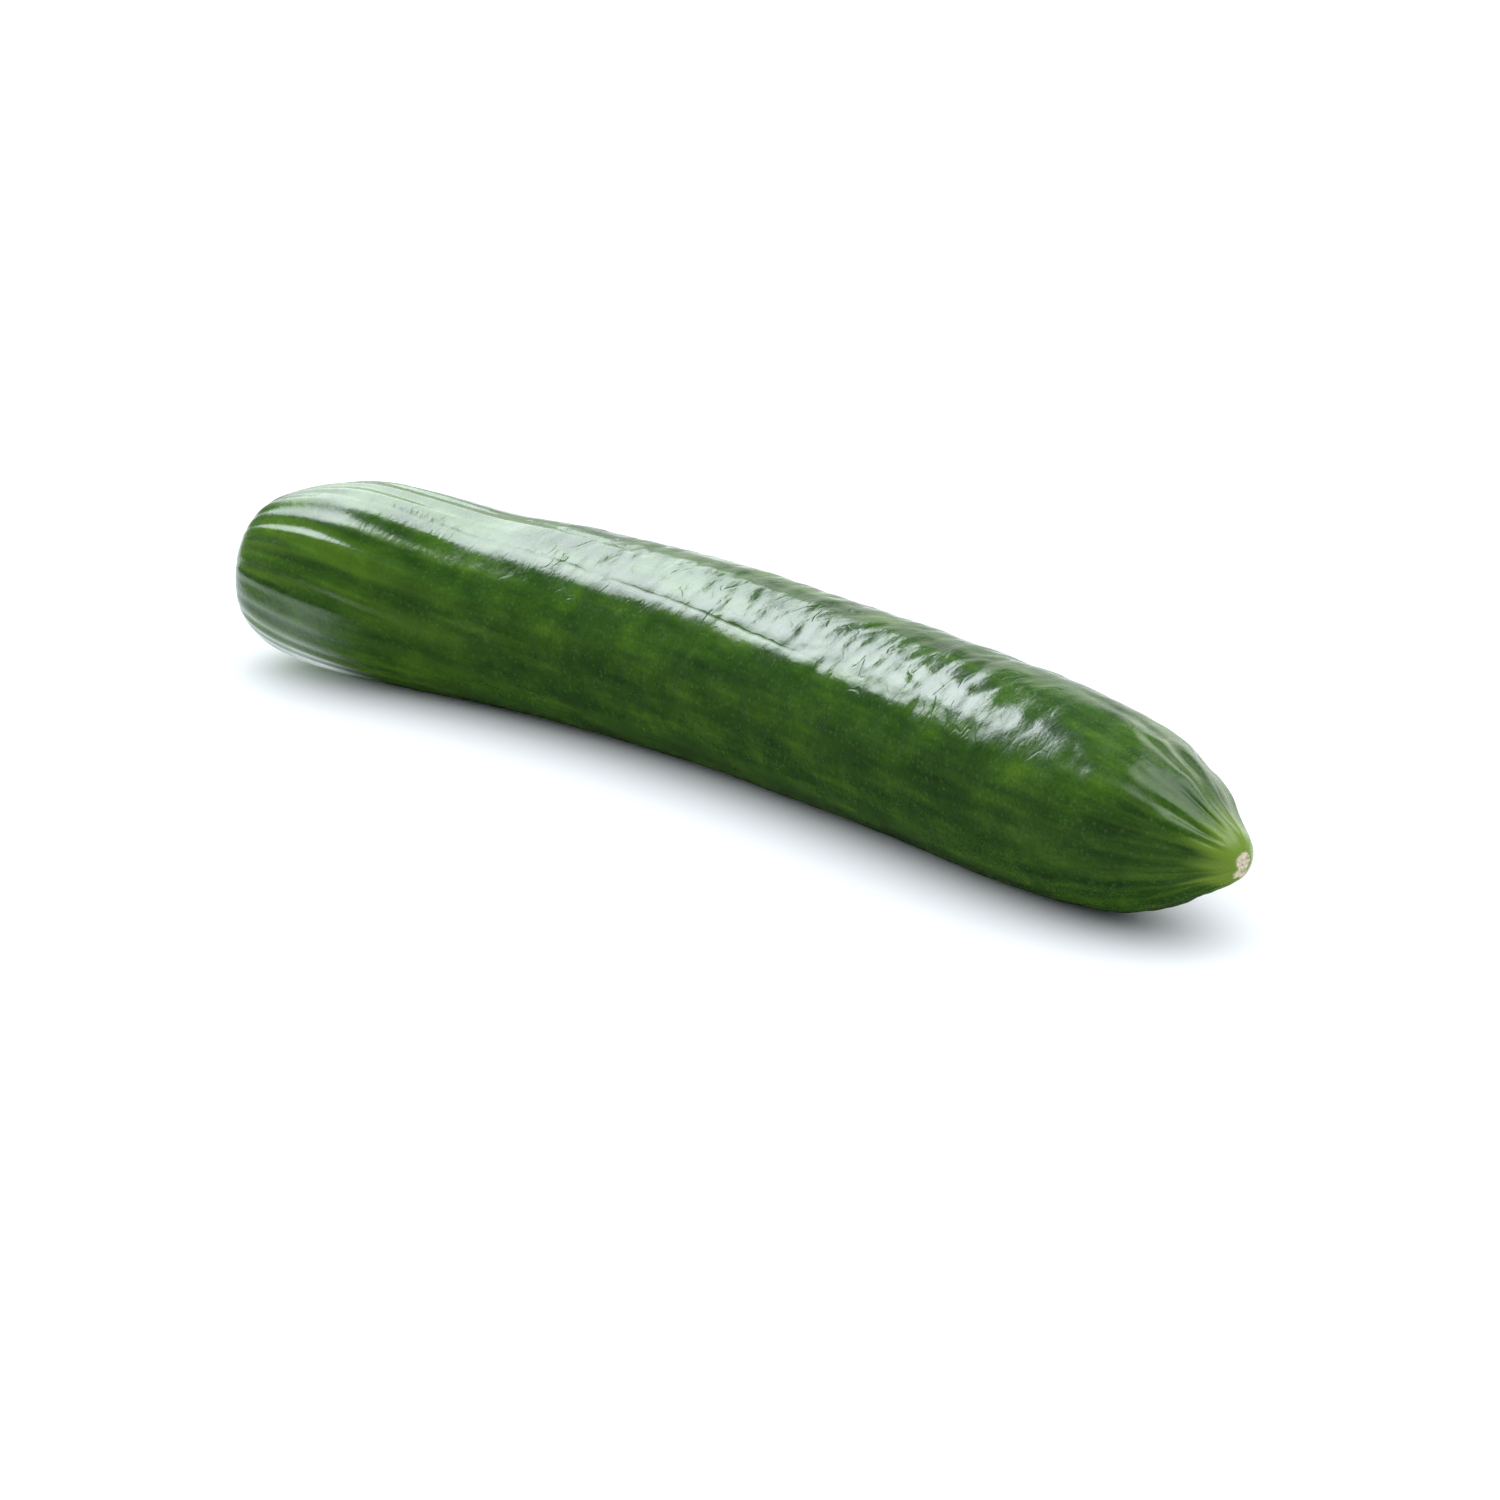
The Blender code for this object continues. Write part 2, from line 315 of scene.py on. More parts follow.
    # the rough corky scar at the tip, and the scuffed patch beside it
    radius = ring_radius
    cork = noise(np.stack([s, radius * np.cos(angle), radius * np.sin(angle)], axis=-1) / 0.0007, 71)
    cork2 = noise(np.stack([s, radius * np.cos(angle), radius * np.sin(angle)], axis=-1) / 0.0016, 72)
    near_tip = (u > 0.9).astype(float)
    scar = near_tip * (1.0 - smooth(0.0016, 0.0021, radius + 0.0002 * cork2))
    around = np.exp(-((turn(deg - 262.0) / 40.0) ** 4))
    patch = near_tip * around * (1.0 - smooth(0.0034, 0.0042, radius + 0.0007 * cork2)) * smooth(0.0017, 0.0023, radius + 0.0003 * cork2)
    rough = np.maximum(scar, 0.75 * patch)
    h += mm * rough * (0.12 + 0.16 * cork + 0.10 * cork2)

    tip = smooth(0.966, 0.996, u + 0.014 * noise(along / (0.02, 0.0036, 0.0036), 73))
    return h, dict(along=along, twist=q, furrow=furrow, pleat=pleat, crease=crease, scar=rough, tip=tip)


# ---------------------------------------------------------------- the skin mesh
def on_body(x, radius, angle, u):
    """Point of the plain body; its rings stand square to the bowed middle line."""
    side, slope = bow_at(x / BODY_LENGTH - 0.5)
    length = np.hypot(1.0, slope)
    return np.stack(
        [
            x - BODY_LENGTH / 2 - slope / length * radius * np.cos(angle),
            side + radius * np.cos(angle) / length,
            full_radius(u) + radius * np.sin(angle),
        ],
        axis=-1,
    )


def build_skin():
    rows = stations(skin_profile(), RINGS)
    x, radius, travelled = rows[:, 0], rows[:, 1], rows[:, 2]
    # the two end rows are single points, the others are rings
    ring = slice(1, RINGS)
    angle = np.radians(-90.0 + 360.0 * np.arange(AROUND) / AROUND)
    X, A = np.meshgrid(x, angle, indexing="ij")
    Rr = np.repeat(radius[:, None], AROUND, 1)
    U = np.clip(X / BODY_LENGTH, 0.0, 1.0)
    plain = on_body(X, Rr, A, U)

    d_row = np.gradient(plain, axis=0)
    d_ang = np.roll(plain, -1, axis=1) - np.roll(plain, 1, axis=1)
    normal = np.cross(d_row, d_ang)
    normal /= np.linalg.norm(normal, axis=-1, keepdims=True) + 1e-15
    centre = on_body(X, np.zeros_like(Rr), A, U)
    outward = np.sign(((plain - centre) * normal).sum(-1)[RINGS // 2].sum())
    normal *= outward

    h, info = relief(U, A, Rr)
    # the stub: a dried, slightly fluted stalk, cut across
    stub = (X < 0.0006) & (Rr < STUB_RADIUS + 0.0012)
    off_stub = smooth(STUB_RADIUS + 0.0003, STUB_RADIUS + 0.0035, Rr) + (X > 0.02)
    h = h * np.clip(off_stub, 0, 1)
    fluted = 0.00022 * np.cos(5 * A + 0.6) * np.clip(Rr / STUB_RADIUS, 0, 1) ** 2
    stubness = 1 - smooth(STUB_RADIUS + 0.0002, STUB_RADIUS + 0.0016, Rr + (X > 0.02) * 1.0)
    fibre = noise(np.stack([X / 0.0030, Rr * np.cos(A) / 0.0007, Rr * np.sin(A) / 0.0007], axis=-1), 81)
    h = h + stubness * (fluted + 0.00010 * fibre)

    points = plain + normal * h[..., None]
    # the frame's own place: middle of the box in plan, and the underside on the surface
    low, high = (np.array(v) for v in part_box("cucumber"))
    shift = np.array(
        [
            (low[0] + high[0]) / 2 - (plain[..., 0].min() + plain[..., 0].max()) / 2,
            (low[1] + high[1]) / 2 - (plain[..., 1].min() + plain[..., 1].max()) / 2,
            low[2] - REST_DEPTH,
        ]
    )
    points = points + shift
    # the soft flat where the fruit rests: pressed smooth near the surface
    z = points[..., 2] - low[2]
    points[..., 2] = low[2] + np.where(z < 0.0008, np.maximum(z, 0.0) ** 2 / (4 * 0.0004) * 0.5 + np.maximum(z, 0.0) * 0.5, z)
    points[..., 2] = np.maximum(points[..., 2], low[2])

    n = AROUND
    coords = [points[0].mean(0)]
    coords += list(points[ring].reshape(-1, 3))
    coords.append(points[-1].mean(0))
    coords = np.array(coords)
    rings = RINGS - 1
    faces = []
    for j in range(n):
        k = (j + 1) % n
        faces.append((0, 1 + k, 1 + j))
    base = np.arange(rings - 1)[:, None] * n + 1
    j = np.arange(n)[None, :]
    k = (j + 1) % n
    quads = np.stack([base + j, base + k, base + n + k, base + n + j], axis=-1).reshape(-1, 4)
    last = 1 + (rings - 1) * n
    end = len(coords) - 1
    tail = [(end, last + j2, last + (j2 + 1) % n) for j2 in range(n)]
    faces = faces + [tuple(int(v) for v in q) for q in quads] + tail

    me = bpy.data.meshes.new("cucumber_skin")
    me.from_pydata([tuple(c) for c in coords], [], faces)
    me.validate()
    me.update()
    # turn the faces outwards if they face in
    middle = coords.mean(0)
    poly = me.polygons[n + (rings // 2) * n + n // 2]
    c = np.array(poly.center)
    row = rings // 2
    axis_point = coords[1 + row * n : 1 + (row + 1) * n].mean(0)
    if np.dot(np.array(poly.normal), c - axis_point) < 0:
        me.flip_normals()

    # a map for baking: along the skin by distance, around it by angle, with the seam underneath
    share = travelled / travelled[-1]
    uv = me.uv_layers.new(name="OFBake")
    loop_vert = np.zeros(len(me.loops), np.int64)
    me.loops.foreach_get("vertex_index", loop_vert)
    loop_start = np.zeros(len(me.polygons), np.int64)
    loop_total = np.zeros(len(me.polygons), np.int64)
    me.polygons.foreach_get("loop_start", loop_start)
    me.polygons.foreach_get("loop_total", loop_total)
    vert_u = np.concatenate([[share[0]], np.repeat(share[1:RINGS], n), [share[-1]]])
    vert_v = np.concatenate([[0.0], np.tile(np.arange(n) / n, rings), [0.0]])
    lu, lv = vert_u[loop_vert], vert_v[loop_vert]
    face_of = np.repeat(np.arange(len(me.polygons)), loop_total)
    top = np.zeros(len(me.polygons))
    np.maximum.at(top, face_of, np.where((loop_vert > 0) & (loop_vert < end), lv, 0.0))
    wrap = (top[face_of] > 0.9) & (lv < 0.1)
    lv = np.where(wrap, lv + 1.0, lv)
    pole = (loop_vert == 0) | (loop_vert == end)
    total = np.zeros(len(me.polygons))
    np.add.at(total, face_of, np.where(pole, 0.0, lv))
    lv = np.where(pole, total[face_of] / 2.0, lv)
    uv.data.foreach_set("uv", np.stack([lu, lv], axis=1).astype(np.float32).ravel())

    def spread(values):
        flat = values[1:RINGS].reshape(rings * n, -1)
        return np.concatenate([values[0].reshape(n, -1).mean(0)[None], flat, values[-1].reshape(n, -1).mean(0)[None]])

    def number(name, values):
        attribute = me.attributes.new(name, "FLOAT", "POINT")
        attribute.data.foreach_set("value", spread(values).astype(np.float32).ravel())

    attribute = me.attributes.new("grain", "FLOAT_VECTOR", "POINT")
    attribute.data.foreach_set("vector", spread(info["along"]).astype(np.float32).ravel())
    number("along_u", U)
    number("furrow", info["furrow"])
    number("pleat", info["pleat"])
    number("crease", info["crease"])
    number("scar", info["scar"])
    number("tip", info["tip"])
    number("stub", stubness)
    me.shade_smooth()
    obj = bpy.data.objects.new("cucumber_skin", me)
    bpy.context.scene.collection.objects.link(obj)
    return obj, shift


# ---------------------------------------------------------------- material
class Nodes:
    """Short names for building a node tree."""

    def __init__(self, name):
        self.material = bpy.data.materials.new(name)
        self.material.use_nodes = True
        self.tree = self.material.node_tree
        self.shader = self.tree.nodes["Principled BSDF"]

    def new(self, kind, **settings):
        node = self.tree.nodes.new(kind)
        for key, value in settings.items():
            setattr(node, key, value)
        return node

    def put(self, socket, value):
        if isinstance(value, bpy.types.NodeSocket):
            self.tree.links.new(value, socket)
        else:
            socket.default_value = value

    def attribute(self, name, output="Fac"):
        return self.new("ShaderNodeAttribute", attribute_name=name).outputs[output]

    def scaled(self, vector, scale):
        node = self.new("ShaderNodeMapping")
        self.put(node.inputs["Vector"], vector)
        node.inputs["Scale"].default_value = scale
        return node.outputs["Vector"]

    def noise(self, vector, scale, detail=2.0, rough=0.5, distortion=0.0):
        node = self.new("ShaderNodeTexNoise", noise_dimensions="3D")
        self.put(node.inputs["Vector"], vector)
        node.inputs["Scale"].default_value = scale
        node.inputs["Detail"].default_value = detail
        node.inputs["Roughness"].default_value = rough
        node.inputs["Distortion"].default_value = distortion
        return node.outputs["Fac"]

    def cells(self, vector, scale, feature="F1"):
        node = self.new("ShaderNodeTexVoronoi", feature=feature)
        self.put(node.inputs["Vector"], vector)
        node.inputs["Scale"].default_value = scale
        return node.outputs["Distance"]

    def math(self, operation, a, b=0.0, clamp=False):
        node = self.new("ShaderNodeMath", operation=operation, use_clamp=clamp)
        self.put(node.inputs[0], a)
        self.put(node.inputs[1], b)
        return node.outputs[0]

    def span(self, value, low, high, to_low=0.0, to_high=1.0, kind="SMOOTHSTEP"):
        node = self.new("ShaderNodeMapRange", interpolation_type=kind)
        self.put(node.inputs["Value"], value)
        node.inputs["From Min"].default_value = low
        node.inputs["From Max"].default_value = high
        node.inputs["To Min"].default_value = to_low
        node.inputs["To Max"].default_value = to_high
        return node.outputs["Result"]

    def mix(self, fac, a, b, blend="MIX"):
        node = self.new("ShaderNodeMix", data_type="RGBA", blend_type=blend)
        self.put(node.inputs["Factor"], fac)
        colours = [s for s in node.inputs if s.type == "RGBA"]
        self.put(colours[0], a)
        self.put(colours[1], b)
        return [s for s in node.outputs if s.type == "RGBA"][0]

    def ramp(self, fac, stops):
        node = self.new("ShaderNodeValToRGB")
        self.put(node.inputs["Fac"], fac)
        elements = node.color_ramp.elements
        while len(elements) < len(stops):
            elements.new(0.5)
        for element, (place, colour) in zip(elements, stops):
            element.position = place
            element.color = colour
        return node.outputs["Color"]


def rgb(r, g, b):
    return (r, g, b, 1.0)


def skin_material():
    n = Nodes("cucumber_skin")
    where = n.new("ShaderNodeTexCoord").outputs["Object"]
    grain = n.attribute("grain", "Vector")
    furrow, pleat, crease = n.attribute("furrow"), n.attribute("pleat"), n.attribute("crease")
    scar, tip, stub = n.attribute("scar"), n.attribute("tip"), n.attribute("stub")
    along = n.attribute("along_u")

    # the fine line along the bottom of the long furrow, by its angle from the rib; it deepens the bump and is painted
    # darker as shade in the colour
    split = n.new("ShaderNodeSeparateXYZ")
    n.put(split.inputs[0], grain)
    turned = n.math("MULTIPLY", n.math("ARCTAN2", split.outputs["Z"], split.outputs["Y"]), 180.0 / math.pi)
    course = n.math("ADD", n.math("MULTIPLY", along, 4.4), -8.7)
    shake = n.math("MULTIPLY", n.math("SUBTRACT", n.noise(n.scaled(grain, (1.0, 0.0, 0.0)), 110.0, 2.0, 0.6), 0.5), 4.0)
    off = n.math("ABSOLUTE", n.math("SUBTRACT", n.math("SUBTRACT", turned, course), shake))
    ends = n.math("MULTIPLY", n.span(along, 0.10, 0.22), n.span(along, 0.56, 0.63, 1.0, 0.0))
    faint = n.span(n.noise(n.scaled(grain, (1.0, 0.0, 0.0)), 60.0, 1.0, 0.5), 0.35, 0.60, 0.45, 1.0)
    line = n.math("MULTIPLY", n.math("MULTIPLY", n.span(off, 0.25, 1.5, 1.0, 0.0), ends), faint)

    # short fine creases, finer than the mesh; they deepen the bump, roughen the gloss and are painted darker as shade
    # in the colour
    folds = n.noise(n.scaled(where, (1.0, 0.62, 0.62)), 210.0, 1.0, 0.5, 0.4)
    fold = n.span(n.math("ABSOLUTE", n.math("SUBTRACT", folds, 0.5)), 0.0, 0.055, 1.0, 0.0)
    fold_gate = n.span(n.noise(where, 120.0, 1.0, 0.5), 0.46, 0.62)
    body_only = n.math("MULTIPLY", n.span(along, 0.14, 0.34), n.span(along, 0.80, 0.92, 1.0, 0.25))
    fold = n.math("MULTIPLY", n.math("MULTIPLY", fold, fold_gate), body_only)

    # colour: dark green, in long soft streaks, blotches and fine speckle
    streak = n.noise(n.scaled(grain, (0.16, 1.0, 1.0)), 230.0, 3.0, 0.55)
    blotch = n.noise(where, 95.0, 3.0, 0.55, 0.6)
    speck = n.noise(where, 1500.0, 2.0, 0.6)
    dots = n.cells(where, 620.0)
    amount = n.math("ADD", n.math("MULTIPLY", streak, 0.58), n.math("MULTIPLY", blotch, 0.42))
    amount = n.math("ADD", amount, n.math("MULTIPLY", n.math("SUBTRACT", speck, 0.5), 0.24))
    green = n.ramp(
        amount,
        (
            (0.34, rgb(0.0105, 0.0400, 0.0020)),
            (0.48, rgb(0.0220, 0.0710, 0.0028)),
            (0.60, rgb(0.0420, 0.1090, 0.0042)),
            (0.74, rgb(0.0850, 0.1750, 0.0085)),
        ),
    )
    pale_dot = n.span(dots, 0.10, 0.34, 1.0, 0.0)
    green = n.mix(n.math("MULTIPLY", pale_dot, 0.24), green, rgb(0.100, 0.190, 0.040))
    green = n.mix(n.math("MULTIPLY", furrow, 0.30), green, rgb(0.060, 0.130, 0.010))
    # painted shade: the furrow line, the mesh creases and the fine folds are darkened towards near-black green in the
    # colour
    shaded_creases = n.math("MAXIMUM", n.math("MULTIPLY", line, 0.45), n.math("MAXIMUM", n.math("MULTIPLY", crease, 0.30), n.math("MULTIPLY", fold, 0.30)))
    green = n.mix(shaded_creases, green, rgb(0.0120, 0.0480, 0.0030))

    # yellow-green stripes at the stem end
    stripes = n.noise(n.scaled(grain, (0.07, 1.0, 1.0)), 270.0, 1.0, 0.5)
    stripe = n.math("MULTIPLY", n.span(stripes, 0.47, 0.66), n.span(along, 0.06, 0.30, 1.0, 0.0))
    green = n.mix(n.math("MULTIPLY", stripe, 0.42), green, rgb(0.095, 0.190, 0.010))

    # towards the blossom end, pale rays and then yellow-green
    rays = n.noise(n.scaled(grain, (0.05, 1.0, 1.0)), 330.0, 1.0, 0.5)
    near = n.span(along, 0.84, 0.985, 0.0, 1.0)
    ray = n.math("MULTIPLY", n.span(rays, 0.46, 0.64), near)
    green = n.mix(n.math("MULTIPLY", ray, 0.26), green, rgb(0.105, 0.190, 0.016))
    green = n.mix(tip, green, rgb(0.150, 0.240, 0.022))

    # cork at the tip and the dried stalk
    cork_noise = n.noise(where, 1900.0, 3.0, 0.65)
    cork = n.ramp(cork_noise, ((0.30, rgb(0.27, 0.20, 0.11)), (0.46, rgb(0.55, 0.47, 0.32)), (0.64, rgb(0.76, 0.69, 0.53))))
    colour = n.mix(n.span(scar, 0.25, 0.75), green, cork)
    fibre = n.noise(n.scaled(where, (0.2, 1.0, 1.0)), 1400.0, 2.0, 0.6)
    stalk = n.ramp(fibre, ((0.30, rgb(0.07, 0.09, 0.024)), (0.55, rgb(0.20, 0.22, 0.08)), (0.75, rgb(0.38, 0.36, 0.20))))
    colour = n.mix(n.span(stub, 0.3, 0.8), colour, stalk)
    n.put(n.shader.inputs["Base Color"], colour)

    # gloss: waxy, a little broken up, dull on cork and stalk
    wax = n.noise(where, 240.0, 3.0, 0.6)
    rough = n.span(wax, 0.3, 0.7, 0.14, 0.22)
    rough = n.math("ADD", rough, n.math("MULTIPLY", n.math("SUBTRACT", speck, 0.5), 0.10))
    rough = n.math("ADD", rough, n.span(along, 0.03, 0.17, 0.08, 0.0))
    rough = n.math("ADD", rough, n.span(along, 0.70, 0.90, 0.0, 0.07))
    rough = n.math("ADD", rough, n.math("MULTIPLY", shaded_creases, 0.25))
    dull = n.math("MAXIMUM", n.span(scar, 0.2, 0.7), n.span(stub, 0.3, 0.8))
    mixed = n.math("ADD", n.math("MULTIPLY", rough, n.math("SUBTRACT", 1.0, dull)), n.math("MULTIPLY", dull, 0.78))
    n.put(n.shader.inputs["Roughness"], mixed)

    # fine relief under the size of the mesh
    micro = n.noise(where, 1250.0, 2.0, 0.6)
    weave = n.noise(n.scaled(grain, (1.6, 1.0, 1.0)), 520.0, 2.0, 0.5)
    height = n.math("ADD", n.math("MULTIPLY", micro, 0.35), n.math("MULTIPLY", weave, 1.0))
    height = n.math("ADD", height, n.math("MULTIPLY", n.math("MULTIPLY", cork_noise, dull), 3.0))
    height = n.math("SUBTRACT", height, n.math("MULTIPLY", line, 0.75))
    height = n.math("SUBTRACT", height, n.math("MULTIPLY", fold, 0.75))
    bump = n.new("ShaderNodeBump")
    bump.inputs["Strength"].default_value = 1.0
    bump.inputs["Distance"].default_value = 0.00006
    n.put(bump.inputs["Height"], height)
    n.put(n.shader.inputs["Normal"], bump.outputs["Normal"])

    n.shader.inputs["Metallic"].default_value = 0.0
    n.shader.inputs["IOR"].default_value = 1.43
    return n.material


skin, shift = build_skin()
skin.data.materials.append(skin_material())
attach(skin, "root")
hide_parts("cucumber")


# ---------------------------------------------------------------- floor
def build_floor():
    import bmesh

    bm = bmesh.new()
    bmesh.ops.create_grid(bm, x_segments=8, y_segments=8, size=6.0)
    me = bpy.data.meshes.new("floor")
    bm.to_mesh(me)
    bm.free()
    floor = bpy.data.objects.new("floor", me)
    floor.location = (0, 0, -0.00005)
    bpy.context.scene.collection.objects.link(floor)
    n = Nodes("floor_paper")
    n.shader.inputs["Base Color"].default_value = rgb(0.90, 0.90, 0.905)
    n.shader.inputs["Roughness"].default_value = 0.85
    n.shader.inputs["Specular IOR Level"].default_value = 0.15
    me.materials.append(n.material)
    return floor


build_floor()


def build_flag():
    """A dark card on the floor in front of the fruit. Only mirror reflections see it: it keeps the pale floor's glare
    off the front of the skin, as the other food in such a picture does, and it casts no shadow. It leaves a corner open,
    which holds a bounce card that the stem end mirrors."""
    import bmesh

    bm = bmesh.new()
    bmesh.ops.create_grid(bm, x_segments=4, y_segments=4, size=0.5)
    me = bpy.data.meshes.new("flag")
    bm.to_mesh(me)
    bm.free()
    card = bpy.data.objects.new("flag", me)
    card.scale = (9.0, 6.02, 1.0)
    card.location = (0.0, -2.99, 0.0006)
    bpy.context.scene.collection.objects.link(card)
    card.visible_camera = False
    card.visible_diffuse = False
    card.visible_shadow = False
    card.visible_transmission = False
    n = Nodes("flag_cloth")
    n.shader.inputs["Base Color"].default_value = rgb(0.02, 0.05, 0.02)
    n.shader.inputs["Roughness"].default_value = 1.0
    n.shader.inputs["Specular IOR Level"].default_value = 0.0
    split = n.new("ShaderNodeSeparateXYZ")
    n.put(split.inputs[0], n.new("ShaderNodeNewGeometry").outputs["Position"])
    corner = n.math("MULTIPLY", n.span(split.outputs["X"], -0.106, -0.132), n.span(split.outputs["Y"], -0.095, -0.058))
    n.put(n.shader.inputs["Alpha"], n.math("MULTIPLY", n.math("SUBTRACT", 1.0, corner), 0.90))
    me.materials.append(n.material)

    # the bounce card in that corner
    bounce = bpy.data.objects.new("bounce_card", me.copy())
    bounce.scale = (1.6, 1.4, 1.0)
    bounce.location = (-0.80, -0.45, 0.0004)
    bpy.context.scene.collection.objects.link(bounce)
    bounce.visible_camera = False
    bounce.visible_diffuse = False
    bounce.visible_shadow = False
    bounce.visible_transmission = False
    n = Nodes("bounce_cloth")
    n.shader.inputs["Base Color"].default_value = rgb(0.0, 0.0, 0.0)
    n.shader.inputs["Specular IOR Level"].default_value = 0.0
    n.shader.inputs["Emission Color"].default_value = rgb(0.86, 0.94, 1.0)
    n.shader.inputs["Emission Strength"].default_value = 2.1
    split = n.new("ShaderNodeSeparateXYZ")
    n.put(split.inputs[0], n.new("ShaderNodeNewGeometry").outputs["Position"])
    corner = n.math("MULTIPLY", n.span(split.outputs["X"], -0.106, -0.132), n.span(split.outputs["Y"], -0.095, -0.058))
    beside = n.math("MULTIPLY", n.span(split.outputs["X"], -0.55, -0.30), n.span(split.outputs["Y"], 0.16, 0.04))
    n.put(n.shader.inputs["Alpha"], n.math("MULTIPLY", corner, beside))
    bounce.data.materials.clear()
    bounce.data.materials.append(n.material)


build_flag()


# ---------------------------------------------------------------- light
def direction(azimuth, elevation):
    """Unit vector from the fruit, azimuth 0 towards -Y and 90 towards +X, in degrees."""
    a, e = math.radians(azimuth), math.radians(elevation)
    return Vector((math.sin(a) * math.cos(e), -math.cos(a) * math.cos(e), math.sin(e)))


def softbox(name, azimuth, elevation, distance, width, height, radiance, colour=(1.0, 1.0, 1.0), tilt=0.0, yaw=0.0, roll=0.0, slide=(0.0, 0.0)):
    """A flat rectangular light that faces the fruit, then leans by tilt, turns by yaw and rolls, in degrees, and slides
    in its own plane."""
    light = bpy.data.lights.new(name, "AREA")
    light.shape = "RECTANGLE"
    light.size, light.size_y = width, height
    light.energy = radiance * math.pi * width * height
    light.color = colour
    obj = bpy.data.objects.new(name, light)
    away = direction(azimuth, elevation)
    obj.location = Vector((0, 0, 0.03)) + away * distance
    side = Vector((0, 0, 1)).cross(away)
    side = side.normalized() if side.length > 1e-6 else Vector((1, 0, 0))
    up = away.cross(side)
    away = (away + math.tan(math.radians(yaw)) * side + math.tan(math.radians(tilt)) * up).normalized()
    side = up.cross(away).normalized()
    up = away.cross(side)
    c, s = math.cos(math.radians(roll)), math.sin(math.radians(roll))
    side, up = c * side + s * up, c * up - s * side
    obj.location += slide[0] * side + slide[1] * up
    obj.rotation_euler = Matrix((side, up, away)).transposed().to_euler()
    bpy.context.scene.collection.objects.link(obj)
    return obj


COOL = (0.88, 0.94, 1.0)


def uneven(light_object, across, along):
    """Shape a softbox's brightness: across and along are (level at the low edge, share of the size at which it is full)."""
    light = light_object.data
    light.use_nodes = True
    tree = light.node_tree
    emission = next(node for node in tree.nodes if node.type == "EMISSION")
    where = tree.nodes.new("ShaderNodeNewGeometry")
    split = tree.nodes.new("ShaderNodeSeparateXYZ")
    tree.links.new(where.outputs["Parametric"], split.inputs[0])
    parts = []
    for socket, (low, full) in (("X", across), ("Y", along)):
        ramp = tree.nodes.new("ShaderNodeMapRange")
        ramp.interpolation_type = "SMOOTHSTEP"
        tree.links.new(split.outputs[socket], ramp.inputs["Value"])
        ramp.inputs["From Max"].default_value = full
        ramp.inputs["To Min"].default_value = low
        ramp.inputs["To Max"].default_value = 1.0
        parts.append(ramp.outputs["Result"])
    product = tree.nodes.new("ShaderNodeMath")
    product.operation = "MULTIPLY"
    tree.links.new(parts[0], product.inputs[0])
    tree.links.new(parts[1], product.inputs[1])
    tree.links.new(product.outputs[0], emission.inputs["Strength"])


def feather(light_object, share):
    """Fade a softbox out towards its edges, over a share of its size."""
    light = light_object.data
    light.use_nodes = True
    tree = light.node_tree
    emission = next(node for node in tree.nodes if node.type == "EMISSION")
    where = tree.nodes.new("ShaderNodeNewGeometry")
    split = tree.nodes.new("ShaderNodeSeparateXYZ")
    tree.links.new(where.outputs["Parametric"], split.inputs[0])
    level = None
    for socket in ("X", "Y"):
        for edge, full in ((0.0, share), (1.0, 1.0 - share)):
            ramp = tree.nodes.new("ShaderNodeMapRange")
            ramp.interpolation_type = "SMOOTHSTEP"
            tree.links.new(split.outputs[socket], ramp.inputs["Value"])
            ramp.inputs["From Min"].default_value = edge
            ramp.inputs["From Max"].default_value = full
            if level is None:
                level = ramp.outputs["Result"]
                continue
            product = tree.nodes.new("ShaderNodeMath")
            product.operation = "MULTIPLY"
            tree.links.new(level, product.inputs[0])
            tree.links.new(ramp.outputs["Result"], product.inputs[1])
            level = product.outputs[0]
    tree.links.new(level, emission.inputs["Strength"])


# the key: a softbox beyond the stem end, brightest towards the fruit's blossom end and its upper edge
WARM = (0.97, 1.0, 0.91)
key = softbox("key_softbox", -85.0, 46.3, 0.548, 0.57, 0.25, 13.4, COOL, tilt=-39.9, yaw=-38.7, roll=20.0, slide=(-0.060, -0.037))
uneven(key, (0.34, 0.63), (0.50, 0.50))
top = softbox("top_softbox", 105, 68, 1.5, 2.6, 2.3, 3.8, (0.95, 0.99, 1.0))
feather(top, 0.35)
rear = softbox("back_panel", -169, 25, 1.8, 1.35, 1.5, 1.85, WARM)
side = softbox("back_side", -130, 14, 1.8, 1.3, 0.8, 0.75, WARM)

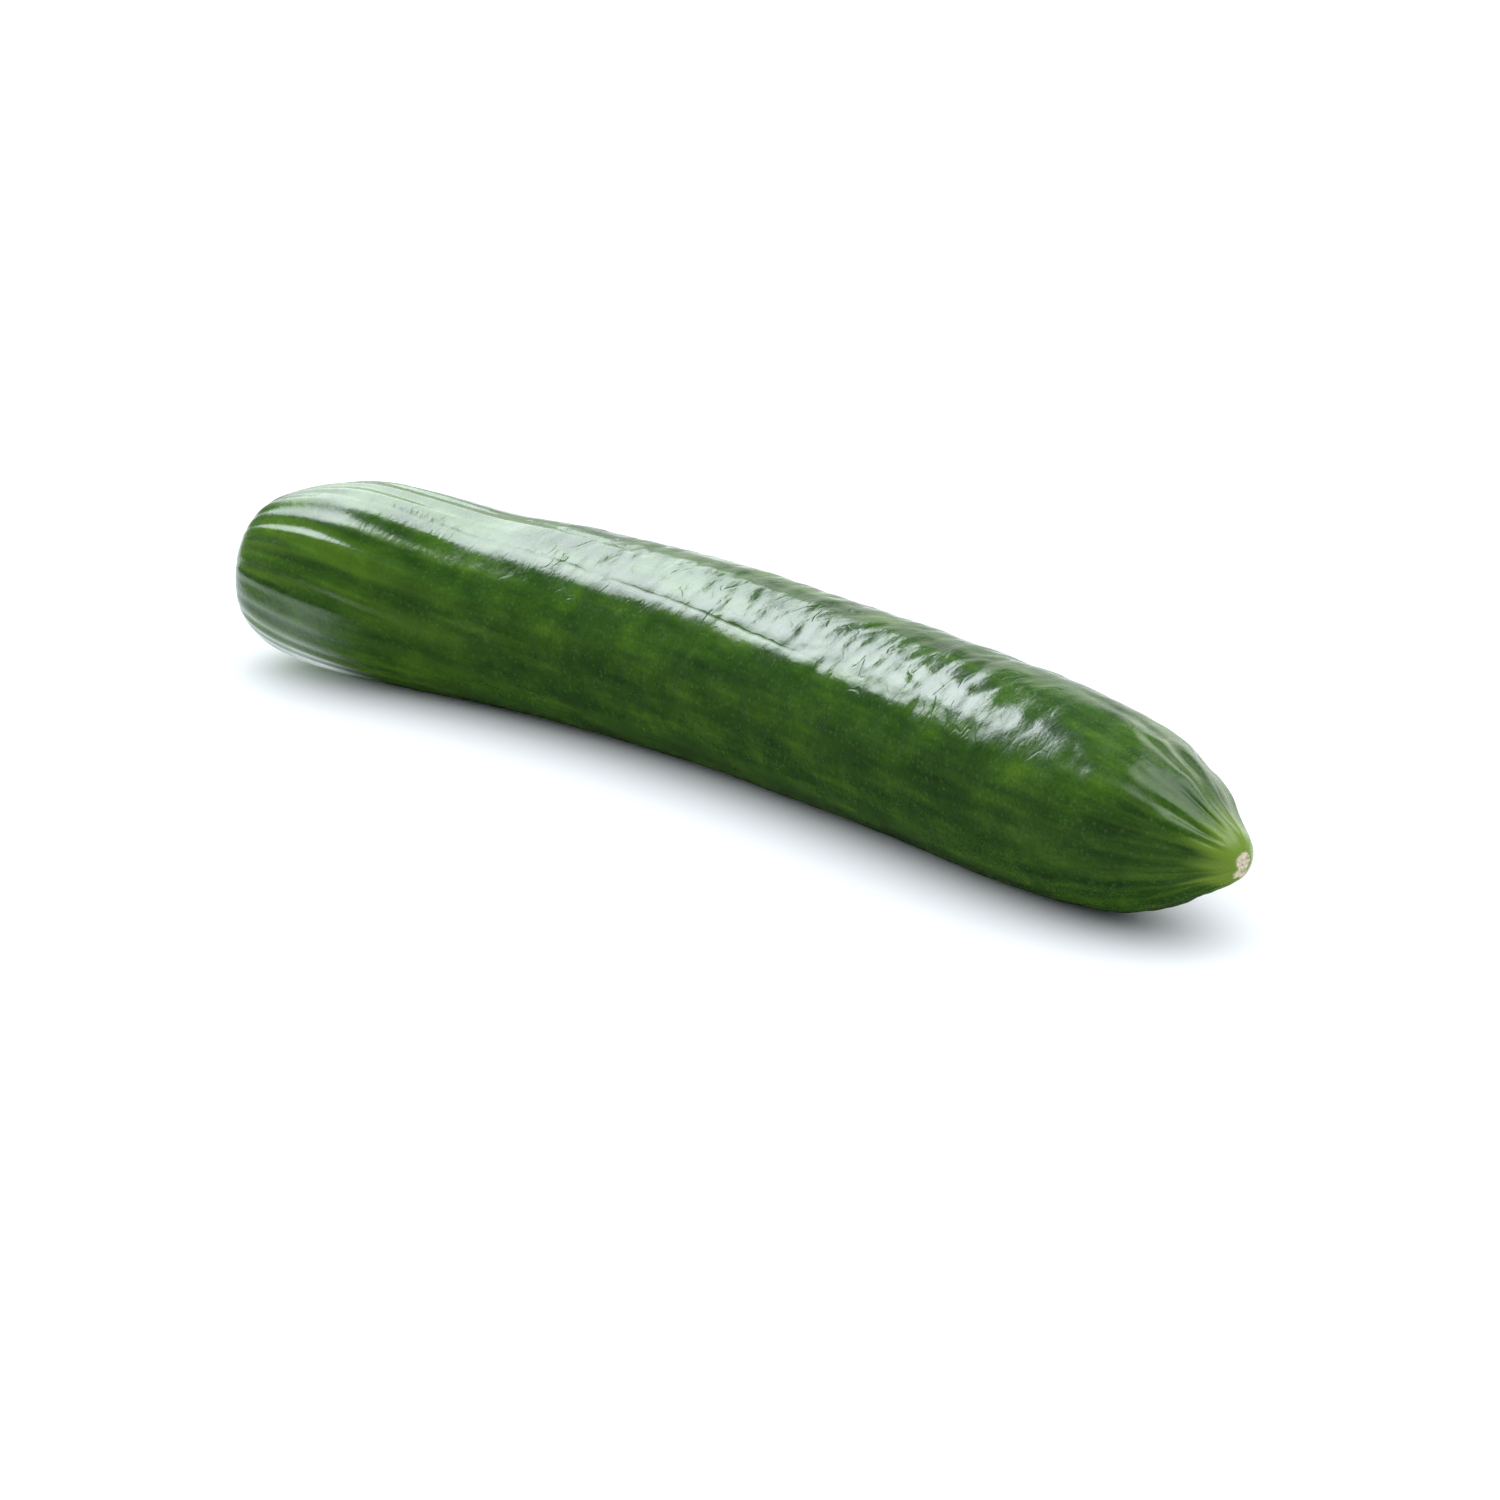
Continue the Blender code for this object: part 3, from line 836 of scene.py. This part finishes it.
# the studio lights above are set for the fruit; the paper has its own wide light from straight above, so that the fruit's
# shadow on it is short and soft all round
floor_light = softbox("floor_light", 0.0, 89.0, 2.0, 10.0, 10.0, 1.66, (0.93, 0.965, 1.0))
only_floor = bpy.data.collections.new("floor_only")
only_floor.objects.link(bpy.data.objects["floor"])
floor_light.light_linking.receiver_collection = only_floor
only_fruit = bpy.data.collections.new("fruit_only")
only_fruit.objects.link(skin)
for light in (key, top, rear, side):
    light.light_linking.receiver_collection = only_fruit

world = bpy.data.worlds.new("studio")
world.use_nodes = True
world.node_tree.nodes["Background"].inputs["Color"].default_value = (0.80, 0.88, 1.0, 1.0)
world.node_tree.nodes["Background"].inputs["Strength"].default_value = 0.26
bpy.context.scene.world = world

# ---------------------------------------------------------------- camera
CAMERA_AZIMUTH, CAMERA_ELEVATION = 48.541, 17.502
CAMERA_DISTANCE = 4.38552 * BODY_LENGTH
CAMERA_YAW, CAMERA_PITCH = -0.00101, -0.00978
FOCAL = 6048.0   # of a frame 1500 wide

camera_data = bpy.data.cameras.new("camera")
camera_data.sensor_fit = "HORIZONTAL"
camera_data.sensor_width = 36.0
camera_data.lens = FOCAL * 36.0 / 1500.0
camera_data.clip_start, camera_data.clip_end = 0.05, 50.0
camera = bpy.data.objects.new("camera", camera_data)
back = direction(CAMERA_AZIMUTH, CAMERA_ELEVATION)
right = Vector((math.cos(math.radians(CAMERA_AZIMUTH)), math.sin(math.radians(CAMERA_AZIMUTH)), 0))
up = back.cross(right)
ahead = -back
cy, sy = math.cos(CAMERA_YAW), math.sin(CAMERA_YAW)
cp, sp = math.cos(CAMERA_PITCH), math.sin(CAMERA_PITCH)
right2 = cy * right - sy * ahead
ahead1 = sy * right + cy * ahead
up2 = cp * up - sp * ahead1
ahead2 = sp * up + cp * ahead1
turned = Matrix((right2, up2, -ahead2)).transposed().to_4x4()
aim = Vector((0.0, BOW[0] / 12 * BODY_LENGTH, 0.0222)) + Vector(shift)
turned.translation = aim + back * CAMERA_DISTANCE
camera.matrix_world = turned
bpy.context.scene.collection.objects.link(camera)
bpy.context.scene.camera = camera

bpy.context.scene.view_settings.view_transform = "Standard"
bpy.context.scene.view_settings.look = "None"
bpy.context.scene.view_settings.exposure = 0.0
bpy.context.scene.view_settings.gamma = 1.0

bpy.context.view_layer.update()
